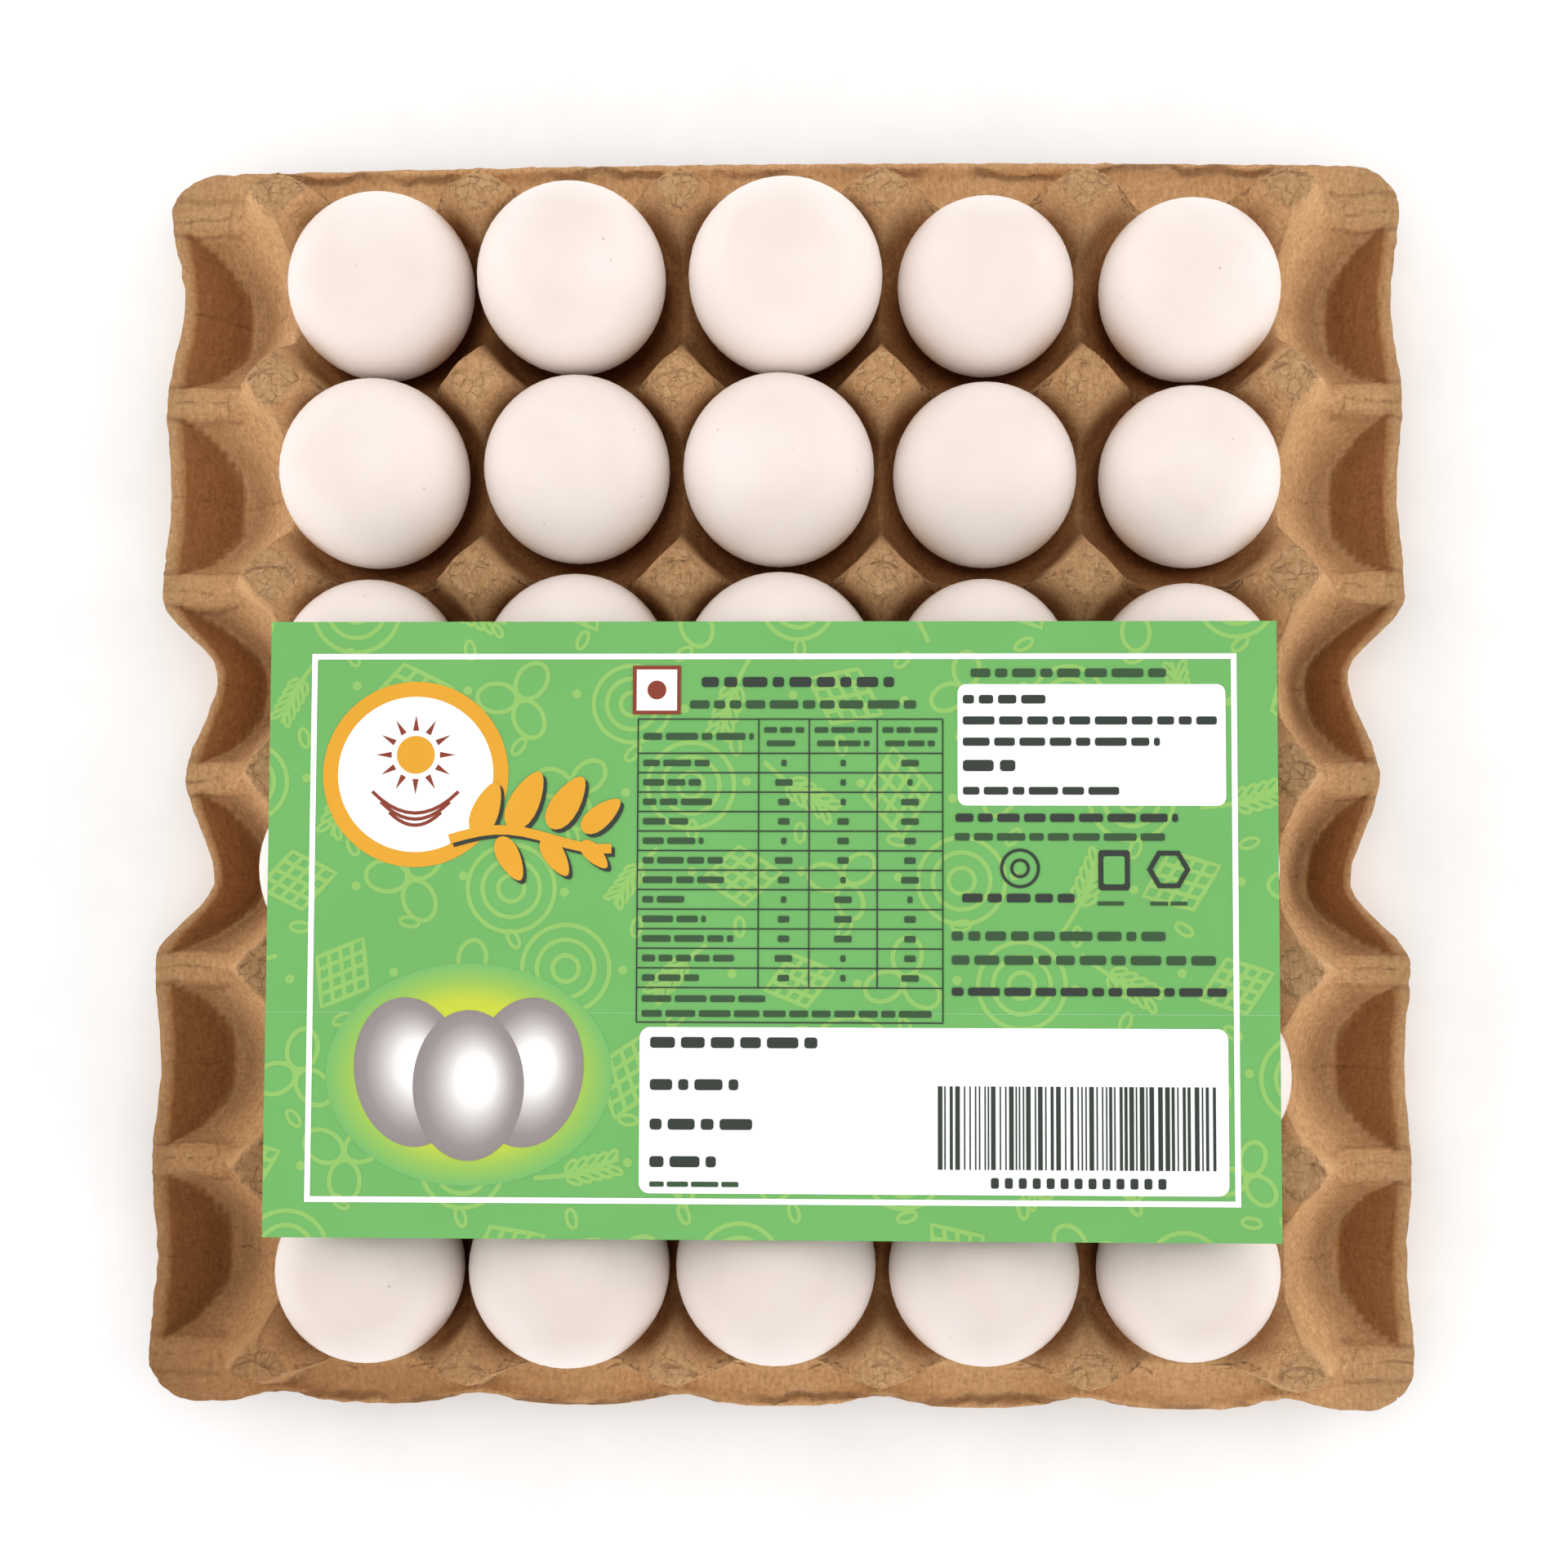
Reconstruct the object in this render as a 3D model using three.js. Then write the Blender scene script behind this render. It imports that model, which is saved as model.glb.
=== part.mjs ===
// An open moulded pulp tray with thirty cells, five across and six deep, an egg standing in
// every cell with its blunt end up, and a printed paper sheet lying on the eggs.
// Millimetres. +X is right and +Y is up in the picture of the tray from above, +Z is up.
import * as THREE from "three";

// Cells
const COLUMNS = 5;
const ROWS = 6;
const PITCH_X = 47.6;
const PITCH_Y = 46;
const EDGE_POST_X = (COLUMNS * PITCH_X) / 2;
const EDGE_POST_Y = (ROWS * PITCH_Y) / 2;

// Moves the middle of the tray's outline, which isn't quite the cells' middle, to the origin
const SHIFT_X = 0.8;
const SHIFT_Y = -0.7;

// Tray
const WALL = 1.9;
const FLOOR_Z = WALL;
const FLOOR_RADIUS = 10;
const SADDLE_RADIUS = 23.6;
const POST_Z = 47;
const POST_TOP = 6.2; // radius of a post's flat top, and how far its flank runs out from there
const POST_FLANK = 9.3;
const EGG_SIDE_TOP = 0.8; // how much shorter both are on the sides that face the eggs
const EGG_SIDE_FLANK = 5.5;
const RIM_X = 151.5;
const RIM_Y = 151;
const RIM_Z = 20.5; // the rim, the bars to it and the saddles between cups are level
const SIDE_LIP = 3.5;
const SIDE_WALL_SLOPE = 1.7;
const BAR_HALF = 3.5;
const BAR_SLOPE = 3;
const END_STRETCH = 1.5; // the end posts' outer flanks are this much steeper
const END_GUTTER = 1.6;
const END_LIP = 2.2;
const CORNER_PLATE = 9; // the gutter runs out this far past the corner posts
const CORNER_RADIUS = 12;

// The two finger notches on each side edge
const NOTCH_DEPTH = 13.8;
const NOTCH_LOBE = 6.5;
const NOTCH_AT = 24.9;
const NOTCH_END = 44;
const SCALLOP = 1.6;
const RIGHT_INSET = 1.6;
const BOTTOM_INSET = 1.4;
const POST_TUCK = 2.6;

// Grid lines of the tray's faces, as offsets from a post line
const CELL_LINES_X = [0, 5.6, 13.8, 23.8, 33.8, 42];
const CELL_LINES_Y = [0, 4.2, 13.3, 23, 32.7, 41.8];
const SIDE_LINES = [5.6, 11, 16.5, 22.5, 29, 32.5];
const END_LINES = [4, 8.5, 13];

// Eggs
const EGG_SEGMENTS = 16;
const EGG_BANDS = 7;
const EGG_BLUNTNESS = 0.15;
const EGG_WIDEST = 1.011;
const EGG_GAP = 1.1;
// Across and up offset, half width and length of each egg, row by row from the top left
const EGGS = [
  [[-0.5, 1.9, 22, 56], [-2.1, 2.6, 22.2, 57], [1.2, 2.5, 22.9, 58], [0.9, 1.3, 20.8, 55], [1.6, 0.1, 21.3, 55]],
  [[-1.1, 2.3, 22.2, 57], [-0.6, 3.3, 21.9, 56], [-0.4, 2.8, 22.5, 58], [0.6, 1.9, 21.6, 56], [1.2, 1.4, 21.2, 55]],
  [[-1.7, 1.7, 21.3, 55], [-0.5, 2.3, 21.9, 56], [-0.1, 1.7, 22.7, 58], [0, 2.3, 20.6, 55], [-0.1, 0.6, 21.2, 55]],
  [[-3.2, 0.4, 22.8, 57], [-0.3, 1, 21.4, 57], [0.3, 0.6, 21.8, 57], [-0.3, 1, 21.4, 56], [-0.2, 1.2, 21.4, 56]],
  [[-0.8, 0.3, 21.7, 56], [0.5, 0.3, 22, 58], [-0.5, 0.4, 21.6, 56], [0.5, 0, 21.8, 57], [1.4, -1, 22, 57]],
  [[0, -0.5, 21.8, 56], [-0.9, 0.2, 23.2, 58], [-0.5, 1.1, 23.1, 58], [0, 0.1, 22, 57], [-0.5, 0.3, 21.1, 55]],
];

// Printed sheet
const SHEET_X = [-114.2, 112];
const SHEET_Y = [-105.7, 32.3];
const SHEET_THICKNESS = 0.5;
const SHEET_GAP = 0.3;

const tan = new THREE.MeshStandardMaterial({ name: "pulp", color: 0xb98f62, roughness: 0.95 });
const white = new THREE.MeshStandardMaterial({ name: "shell", color: 0xf4ebe4, roughness: 0.6 });
const green = new THREE.MeshStandardMaterial({ name: "paper", color: 0x7cc36d, roughness: 0.7 });

const clamp = (value, low, high) => Math.min(high, Math.max(low, value));
const smooth = (t) => clamp(t, 0, 1) ** 2 * (3 - 2 * clamp(t, 0, 1));
const bump = (offset, width) => Math.exp(-((offset / width) ** 2));

const cellX = (column) => (column - 3) * PITCH_X;
const cellY = (row) => (3.5 - row) * PITCH_Y;

// Height of a post at an offset from its middle. Its top is round, and its flanks run further out
// along the ridges to the next posts than towards the eggs.
function postHeight(u, v) {
  const radius = Math.hypot(u, v);
  const eggSide = radius > 0 ? Math.abs((2 * u * v) / radius ** 2) ** 0.7 : 0;
  const top = POST_TOP - EGG_SIDE_TOP * eggSide;
  const flank = POST_FLANK - EGG_SIDE_FLANK * eggSide;
  const share = clamp(1 - (radius - top) / flank, 0, 1);
  return RIM_Z + ((POST_Z - RIM_Z) * (share + smooth(share))) / 2;
}

// Height of a cup at a distance from its cell's middle, up to the saddles
function cupHeight(distance) {
  const share = clamp((distance - FLOOR_RADIUS) / (SADDLE_RADIUS - FLOOR_RADIUS), 0, 1);
  return FLOOR_Z + (RIM_Z - FLOOR_Z) * share;
}

// Height of the tray's upper face before its edge is drawn in. The side margins repeat the cups as
// half cups, which the outer wall cuts into pockets with a bar from each edge post to the rim.
function trayTop(x, y) {
  const across = Math.abs(x);
  const beyond = Math.abs(y) - EDGE_POST_Y;
  const postX = clamp(Math.round(x / PITCH_X - 0.5) + 0.5, -2.5, 2.5) * PITCH_X;
  const postY = clamp(Math.round(y / PITCH_Y), -3, 3) * PITCH_Y;
  const post = postHeight(x - postX, beyond > 0 ? END_STRETCH * beyond : y - postY);
  if (beyond > 0) {
    const inside = smooth(beyond / 4) * smooth((RIM_Y - Math.abs(y) - END_LIP) / 1.5);
    const gutter = END_GUTTER * inside * smooth((EDGE_POST_X + CORNER_PLATE - across) / CORNER_PLATE);
    return post - gutter;
  }
  const column = clamp(Math.round(x / PITCH_X), -3, 3);
  const row = clamp(Math.round(y / PITCH_Y - 0.5) + 0.5, -2.5, 2.5);
  const dx = (2 * (x - column * PITCH_X)) / PITCH_X;
  const dy = (2 * (y - row * PITCH_Y)) / PITCH_Y;
  const cup = cupHeight(SADDLE_RADIUS * Math.hypot(dx, dy));
  const height = post > RIM_Z ? post : cup;
  if (across <= EDGE_POST_X) return height;
  const wall = RIM_Z - SIDE_WALL_SLOPE * Math.max(0, RIM_X - across - SIDE_LIP);
  const bar = RIM_Z - BAR_SLOPE * Math.max(0, Math.abs(y - postY) - BAR_HALF);
  return Math.max(height, wall, bar);
}

// Height of the lower face, a wall's thickness inside the upper face
function trayBottom(x, y) {
  let lowest = trayTop(x, y) - WALL;
  for (const share of [0.35, 0.7, 0.92]) {
    const reach = WALL * share;
    const drop = Math.sqrt(WALL ** 2 - reach ** 2);
    for (let turn = 0; turn < 12; turn++) {
      const angle = (turn * Math.PI) / 6;
      const near = trayTop(x + reach * Math.cos(angle), y + reach * Math.sin(angle));
      lowest = Math.min(lowest, near - drop);
    }
  }
  return Math.max(0, lowest);
}

// How far the side edges are drawn in at a height up the picture
function sideInset(y, side) {
  const far = Math.abs(y);
  const lobe = NOTCH_LOBE + (NOTCH_DEPTH - NOTCH_LOBE) * smooth(far / NOTCH_AT);
  const notch = far < NOTCH_AT ? lobe : NOTCH_DEPTH * smooth((NOTCH_END - far) / (NOTCH_END - NOTCH_AT));
  const wave = far < NOTCH_END ? 0 : (SCALLOP * (1 - Math.cos((2 * Math.PI * y) / PITCH_Y))) / 2;
  const dent = (side < 0 ? 2.5 : 1) * bump(y - 117, 16);
  return notch + wave + dent + (side < 0 ? 0 : RIGHT_INSET);
}

// How far the end edges are drawn in at a place across the tray
function endInset(x, end) {
  if (end > 0) return 1.6 * ((x - 10) / 140) ** 2;
  const post = (Math.round(x / PITCH_X - 0.5) + 0.5) * PITCH_X;
  return BOTTOM_INSET + POST_TUCK * bump(x - post, 9);
}

// Moves a place on the plain rectangle to the tray's drawn-in, round-cornered edge
function drawIn(x, y) {
  const side = Math.sign(x);
  const end = Math.sign(y);
  let across = Math.abs(x);
  let along = Math.abs(y);
  const overX = across - (RIM_X - CORNER_RADIUS);
  const overY = along - (RIM_Y - CORNER_RADIUS);
  if (overX > 0 && overY > 0) {
    const pull = Math.max(overX, overY) / Math.hypot(overX, overY);
    across = RIM_X - CORNER_RADIUS + overX * pull;
    along = RIM_Y - CORNER_RADIUS + overY * pull;
  }
  if (across > EDGE_POST_X) {
    across -= (sideInset(y, side) * (across - EDGE_POST_X)) / (RIM_X - EDGE_POST_X);
  }
  if (along > EDGE_POST_Y) {
    along -= (endInset(x, end) * (along - EDGE_POST_Y)) / (RIM_Y - EDGE_POST_Y);
  }
  return [side * across, end * along];
}

// Lines of the grid from one edge of the tray to the other
function gridLines(cells, pitch, offsets, start, before, after) {
  const lines = [...before];
  for (let cell = 0; cell < cells; cell++) {
    for (const offset of offsets) lines.push(start + cell * pitch + offset);
  }
  lines.push(start + cells * pitch, ...after);
  return lines;
}

const sideLines = SIDE_LINES.map((offset) => EDGE_POST_X + offset);
const endLines = END_LINES.map((offset) => EDGE_POST_Y + offset);
const linesX = gridLines(
  COLUMNS, PITCH_X, CELL_LINES_X, -EDGE_POST_X,
  sideLines.map((x) => -x).reverse(), sideLines,
);
const linesY = gridLines(
  ROWS, PITCH_Y, CELL_LINES_Y, -EDGE_POST_Y,
  endLines.map((y) => -y).reverse(), endLines,
);

const lineTop = (i, j) => trayTop(linesX[i], linesY[j]);

// Whether a square of the grid is best cut along its rising diagonal
function cutRising(i, j) {
  const middle = trayTop((linesX[i] + linesX[i + 1]) / 2, (linesY[j] + linesY[j + 1]) / 2);
  const rising = Math.abs((lineTop(i, j) + lineTop(i + 1, j + 1)) / 2 - middle);
  const falling = Math.abs((lineTop(i + 1, j) + lineTop(i, j + 1)) / 2 - middle);
  return rising <= falling;
}

// Height of the tray's upper faces, which are flat between the grid's lines
function facetTop(x, y) {
  const i = linesX.findIndex((line) => line > x) - 1;
  const j = linesY.findIndex((line) => line > y) - 1;
  const u = (x - linesX[i]) / (linesX[i + 1] - linesX[i]);
  const v = (y - linesY[j]) / (linesY[j + 1] - linesY[j]);
  const [a, b, c, d] = [lineTop(i, j), lineTop(i + 1, j), lineTop(i + 1, j + 1), lineTop(i, j + 1)];
  if (cutRising(i, j)) return u > v ? a + u * (b - a) + v * (c - b) : a + v * (d - a) + u * (c - d);
  return u + v < 1 ? a + u * (b - a) + v * (d - a) : c + (1 - u) * (d - c) + (1 - v) * (b - c);
}

// The tray: two height fields on one grid, joined round the edge
function makeTray() {
  const across = linesX.length;
  const along = linesY.length;
  const positions = [];
  for (const heightAt of [trayTop, trayBottom]) {
    for (const y of linesY) {
      for (const x of linesX) positions.push(...drawIn(x, y), heightAt(x, y));
    }
  }
  const top = (i, j) => j * across + i;
  const bottom = (i, j) => across * along + top(i, j);
  const faces = [];
  for (let j = 0; j + 1 < along; j++) {
    for (let i = 0; i + 1 < across; i++) {
      const corners = [[i, j], [i + 1, j], [i + 1, j + 1], [i, j + 1]];
      const order = cutRising(i, j) ? [0, 1, 2, 0, 2, 3] : [0, 1, 3, 1, 2, 3];
      for (let k = 0; k < 6; k += 3) {
        const [a, b, c] = [order[k], order[k + 1], order[k + 2]].map((n) => corners[n]);
        faces.push(top(...a), top(...b), top(...c));
        faces.push(bottom(...a), bottom(...c), bottom(...b));
      }
    }
  }
  const edge = [];
  for (let i = 0; i + 1 < across; i++) edge.push([i, 0]);
  for (let j = 0; j + 1 < along; j++) edge.push([across - 1, j]);
  for (let i = across - 1; i > 0; i--) edge.push([i, along - 1]);
  for (let j = along - 1; j > 0; j--) edge.push([0, j]);
  edge.forEach((a, n) => {
    const b = edge[(n + 1) % edge.length];
    faces.push(top(...a), bottom(...a), bottom(...b));
    faces.push(top(...a), bottom(...b), top(...b));
  });
  const geometry = new THREE.BufferGeometry();
  geometry.setAttribute("position", new THREE.Float32BufferAttribute(positions, 3));
  geometry.setIndex(faces);
  geometry.computeVertexNormals();
  return geometry;
}

// An egg standing on its pointed end at the origin
function makeEgg(radius, length) {
  const profile = [];
  for (let band = 0; band <= EGG_BANDS; band++) {
    const angle = (band * Math.PI) / EGG_BANDS;
    const width = (Math.sin(angle) * (1 - EGG_BLUNTNESS * Math.cos(angle))) / EGG_WIDEST;
    const inside = band > 0 && band < EGG_BANDS;
    profile.push(new THREE.Vector2(inside ? radius * width : 0, (length * (1 - Math.cos(angle))) / 2));
  }
  return new THREE.LatheGeometry(profile, EGG_SEGMENTS).rotateX(Math.PI / 2);
}

// Leans an egg outwards by its offset, then lowers it until it all but touches the cup
function standEgg(row, column) {
  const [dx, dy, radius, length] = EGGS[row - 1][column - 1];
  const geometry = makeEgg(radius, length);
  geometry.rotateX(-Math.atan(dy / (0.6 * length)));
  geometry.rotateY(Math.atan(dx / (0.6 * length)));
  geometry.translate(cellX(column), cellY(row), 0);
  const place = geometry.attributes.position;
  let lift = -100;
  for (let n = 0; n < place.count; n++) {
    lift = Math.max(lift, facetTop(place.getX(n), place.getY(n)) + EGG_GAP - place.getZ(n));
  }
  return geometry.translate(0, 0, lift);
}

const part = new THREE.Group();
const add = (name, geometry, material) => {
  const mesh = new THREE.Mesh(geometry.translate(SHIFT_X, SHIFT_Y, 0), material);
  mesh.name = name;
  part.add(mesh);
};

add("tray", makeTray(), tan);
let eggTop = 0;
for (let row = 1; row <= ROWS; row++) {
  for (let column = 1; column <= COLUMNS; column++) {
    const egg = standEgg(row, column);
    egg.computeBoundingBox();
    const low = cellY(row) < SHEET_Y[1] + PITCH_Y / 2;
    if (low) eggTop = Math.max(eggTop, egg.boundingBox.max.z);
    add("egg_r" + row + "c" + column, egg, white);
  }
}

// The sheet lies on the tallest eggs under it
const sheet = new THREE.BoxGeometry(SHEET_X[1] - SHEET_X[0], SHEET_Y[1] - SHEET_Y[0], SHEET_THICKNESS);
sheet.translate(
  (SHEET_X[0] + SHEET_X[1]) / 2,
  (SHEET_Y[0] + SHEET_Y[1]) / 2,
  eggTop + SHEET_GAP + SHEET_THICKNESS / 2,
);
add("label", sheet, green);

export default part;
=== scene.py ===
import math
import random

import bpy
import numpy as np
from mathutils import Matrix, Vector, noise


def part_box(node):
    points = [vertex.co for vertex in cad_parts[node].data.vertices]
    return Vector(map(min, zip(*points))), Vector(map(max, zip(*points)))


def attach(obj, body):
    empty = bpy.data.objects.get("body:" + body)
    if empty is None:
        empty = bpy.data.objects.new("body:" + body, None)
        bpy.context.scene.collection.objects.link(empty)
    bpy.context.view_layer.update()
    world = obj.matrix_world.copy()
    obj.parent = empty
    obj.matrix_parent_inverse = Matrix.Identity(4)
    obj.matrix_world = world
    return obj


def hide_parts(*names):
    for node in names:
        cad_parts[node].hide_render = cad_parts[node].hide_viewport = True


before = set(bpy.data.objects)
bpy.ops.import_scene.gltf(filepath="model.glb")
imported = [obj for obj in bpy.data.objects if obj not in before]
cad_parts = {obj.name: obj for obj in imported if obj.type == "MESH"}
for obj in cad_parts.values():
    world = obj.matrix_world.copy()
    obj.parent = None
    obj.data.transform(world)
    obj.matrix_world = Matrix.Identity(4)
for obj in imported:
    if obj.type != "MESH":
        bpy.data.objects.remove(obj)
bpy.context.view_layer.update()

MM = 0.001

# Cells, in millimetres
COLUMNS = 5
ROWS = 6
PITCH_X = 47.6
PITCH_Y = 46
EDGE_POST_X = COLUMNS * PITCH_X / 2
EDGE_POST_Y = ROWS * PITCH_Y / 2

# Moves the middle of the tray's outline to the origin, as the solids do
SHIFT = np.array([0.8, -0.7, 0])

# Tray
WALL = 1.9
FLOOR_Z = WALL
FLOOR_RADIUS = 10
SADDLE_RADIUS = 23.6
POST_Z = 47
POST_TOP = 6.2
POST_FLANK = 9.3
EGG_SIDE_TOP = 0.8
EGG_SIDE_FLANK = 5.5
RIM_X = 151.5
RIM_Y = 151
RIM_Z = 20.5
SIDE_LIP = 3.5
SIDE_WALL_SLOPE = 1.7
BAR_HALF = 3.5
BAR_SLOPE = 3
END_STRETCH = 1.5
END_GUTTER = 1.6
END_LIP = 2.2
CORNER_PLATE = 9
CORNER_RADIUS = 12
NOTCH_DEPTH = 13.8
NOTCH_LOBE = 6.5
NOTCH_AT = 24.9
NOTCH_END = 44
SCALLOP = 1.6
RIGHT_INSET = 1.6
BOTTOM_INSET = 1.4
POST_TUCK = 2.6

# Across and up offset, half width and length of each egg, row by row from the top left
EGG_BLUNTNESS = 0.15
EGG_WIDEST = 1.011
EGGS = [
    [
        (-0.5, 1.9, 22, 56), (-2.1, 2.6, 22.2, 57), (1.2, 2.5, 22.9, 58),
        (0.9, 1.3, 20.8, 55), (1.6, 0.1, 21.3, 55),
    ],
    [
        (-1.1, 2.3, 22.2, 57), (-0.6, 3.3, 21.9, 56), (-0.4, 2.8, 22.5, 58),
        (0.6, 1.9, 21.6, 56), (1.2, 1.4, 21.2, 55),
    ],
    [
        (-1.7, 1.7, 21.3, 55), (-0.5, 2.3, 21.9, 56), (-0.1, 1.7, 22.7, 58),
        (0, 2.3, 20.6, 55), (-0.1, 0.6, 21.2, 55),
    ],
    [
        (-3.2, 0.4, 22.8, 57), (-0.3, 1, 21.4, 57), (0.3, 0.6, 21.8, 57),
        (-0.3, 1, 21.4, 56), (-0.2, 1.2, 21.4, 56),
    ],
    [
        (-0.8, 0.3, 21.7, 56), (0.5, 0.3, 22, 58), (-0.5, 0.4, 21.6, 56),
        (0.5, 0, 21.8, 57), (1.4, -1, 22, 57),
    ],
    [
        (0, -0.5, 21.8, 56), (-0.9, 0.2, 23.2, 58), (-0.5, 1.1, 23.1, 58),
        (0, 0.1, 22, 57), (-0.5, 0.3, 21.1, 55),
    ],
]

# Grid of the tray's mesh, finer than the solids', most of all near the posts
FINE_STEP = 1
FINE_REACH = 12
COARSE_STEPS = 9
SIDE_STEPS = 23
END_STEPS = 12
LUMP = 0.22
FRAY = 0.8
POCKET_SOFTNESS = 0.4
BAR_SOFTNESS = 0.7

# Marks in the pulp, in millimetres
DISC_RADIUS = 5.9
WOBBLE = 6
BAR_FROM = 136
SEAM_FROM = 7.5
SEAM_TO = 17
CORNER_DARK_REACH = 150


def clamp(value, low, high):
    return np.minimum(high, np.maximum(low, value))


def smooth(t):
    t = clamp(t, 0, 1)
    return t * t * (3 - 2 * t)


def bump(offset, width):
    return np.exp(-((offset / width) ** 2))


def soft_max(a, b, k):
    """The larger of two heights, with the corner between them rounded over about k."""
    h = clamp(0.5 + 0.5 * (a - b) / k, 0, 1)
    return b + (a - b) * h + k * h * (1 - h)


# The tray's shape

def post_height(u, v):
    radius = np.maximum(1e-6, np.hypot(u, v))
    egg_side = np.abs(2 * u * v / radius**2) ** 0.7
    top = POST_TOP - EGG_SIDE_TOP * egg_side
    flank = POST_FLANK - EGG_SIDE_FLANK * egg_side
    share = clamp(1 - (radius - top) / flank, 0, 1)
    return RIM_Z + (POST_Z - RIM_Z) * (share + smooth(share)) / 2


def cup_height(distance):
    share = (distance - FLOOR_RADIUS) / (SADDLE_RADIUS - FLOOR_RADIUS)
    return FLOOR_Z + (RIM_Z - FLOOR_Z) * clamp(share, 0, 1)


def nearest_post(x, y):
    post_x = clamp(np.round(x / PITCH_X - 0.5) + 0.5, -2.5, 2.5) * PITCH_X
    post_y = clamp(np.round(y / PITCH_Y), -3, 3) * PITCH_Y
    return post_x, post_y


def tray_top(x, y):
    across, beyond = np.abs(x), np.abs(y) - EDGE_POST_Y
    post_x, post_y = nearest_post(x, y)
    column = clamp(np.round(x / PITCH_X), -3, 3)
    row = clamp(np.round(y / PITCH_Y - 0.5) + 0.5, -2.5, 2.5)
    dx = 2 * (x - column * PITCH_X) / PITCH_X
    dy = 2 * (y - row * PITCH_Y) / PITCH_Y
    post = post_height(x - post_x, np.where(beyond > 0, END_STRETCH * beyond, y - post_y))
    cup = cup_height(SADDLE_RADIUS * np.hypot(dx, dy))
    inner = np.where(post > RIM_Z, post, cup)
    wall = RIM_Z - SIDE_WALL_SLOPE * np.maximum(0, RIM_X - across - SIDE_LIP)
    bar = RIM_Z - BAR_SLOPE * np.maximum(0, np.abs(y - post_y) - BAR_HALF)
    outer = soft_max(soft_max(inner, wall, POCKET_SOFTNESS), bar, BAR_SOFTNESS)
    height = np.where(across > EDGE_POST_X, outer, inner)
    height = np.where((across > RIM_X - SIDE_LIP) & (post <= RIM_Z), RIM_Z, height)
    inside = smooth(beyond / 4) * smooth((RIM_Y - np.abs(y) - END_LIP) / 1.5)
    gutter = END_GUTTER * inside * smooth((EDGE_POST_X + CORNER_PLATE - across) / CORNER_PLATE)
    return np.where(beyond > 0, post - gutter, height)


def tray_bottom(x, y):
    lowest = tray_top(x, y) - WALL
    for share in (0.35, 0.7, 0.92):
        reach = WALL * share
        drop = math.sqrt(WALL**2 - reach**2)
        for turn in range(12):
            angle = turn * math.pi / 6
            near = tray_top(x + reach * math.cos(angle), y + reach * math.sin(angle))
            lowest = np.minimum(lowest, near - drop)
    return np.maximum(0, lowest)


def side_inset(y, side):
    far = np.abs(y)
    lobe = NOTCH_LOBE + (NOTCH_DEPTH - NOTCH_LOBE) * smooth(far / NOTCH_AT)
    outer = NOTCH_DEPTH * smooth((NOTCH_END - far) / (NOTCH_END - NOTCH_AT))
    notch = np.where(far < NOTCH_AT, lobe, outer)
    wave = np.where(far < NOTCH_END, 0, SCALLOP * (1 - np.cos(2 * math.pi * y / PITCH_Y)) / 2)
    dent = np.where(side < 0, 2.5, 1) * bump(y - 117, 16)
    return notch + wave + dent + np.where(side < 0, 0, RIGHT_INSET)


def end_inset(x, end):
    post = (np.round(x / PITCH_X - 0.5) + 0.5) * PITCH_X
    tuck = BOTTOM_INSET + POST_TUCK * bump(x - post, 9)
    return np.where(end < 0, tuck, 1.6 * ((x - 10) / 140) ** 2)


def draw_in(x, y):
    side, end = np.sign(x), np.sign(y)
    across, along = np.abs(x), np.abs(y)
    over_x = across - (RIM_X - CORNER_RADIUS)
    over_y = along - (RIM_Y - CORNER_RADIUS)
    corner = (over_x > 0) & (over_y > 0)
    pull = np.where(corner, np.maximum(over_x, over_y) / np.maximum(1e-6, np.hypot(over_x, over_y)), 1)
    across = np.where(corner, RIM_X - CORNER_RADIUS + over_x * pull, across)
    along = np.where(corner, RIM_Y - CORNER_RADIUS + over_y * pull, along)
    share_x = clamp((across - EDGE_POST_X) / (RIM_X - EDGE_POST_X), 0, 1)
    share_y = clamp((along - EDGE_POST_Y) / (RIM_Y - EDGE_POST_Y), 0, 1)
    return side * (across - side_inset(y, side) * share_x), end * (along - end_inset(x, end) * share_y)


def tray_lines(cells, pitch, first, edge, edge_steps):
    fine = np.arange(0, FINE_REACH, FINE_STEP)
    coarse = np.linspace(FINE_REACH, pitch - FINE_REACH, COARSE_STEPS)
    cell = np.concatenate([fine, coarse, pitch - fine[:0:-1]])
    inner = np.concatenate([first + k * pitch + cell for k in range(cells)])
    after = np.linspace(-first, edge, edge_steps + 1)
    return np.concatenate([-after[:0:-1], inner, after])


def lumps(x, y, size, seed):
    """Smooth noise at each point, about -1 to 1, with features of the given size."""
    flat = [noise.noise(Vector((u / size, v / size, seed))) for u, v in zip(x.ravel(), y.ravel())]
    return np.array(flat).reshape(x.shape)


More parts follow.
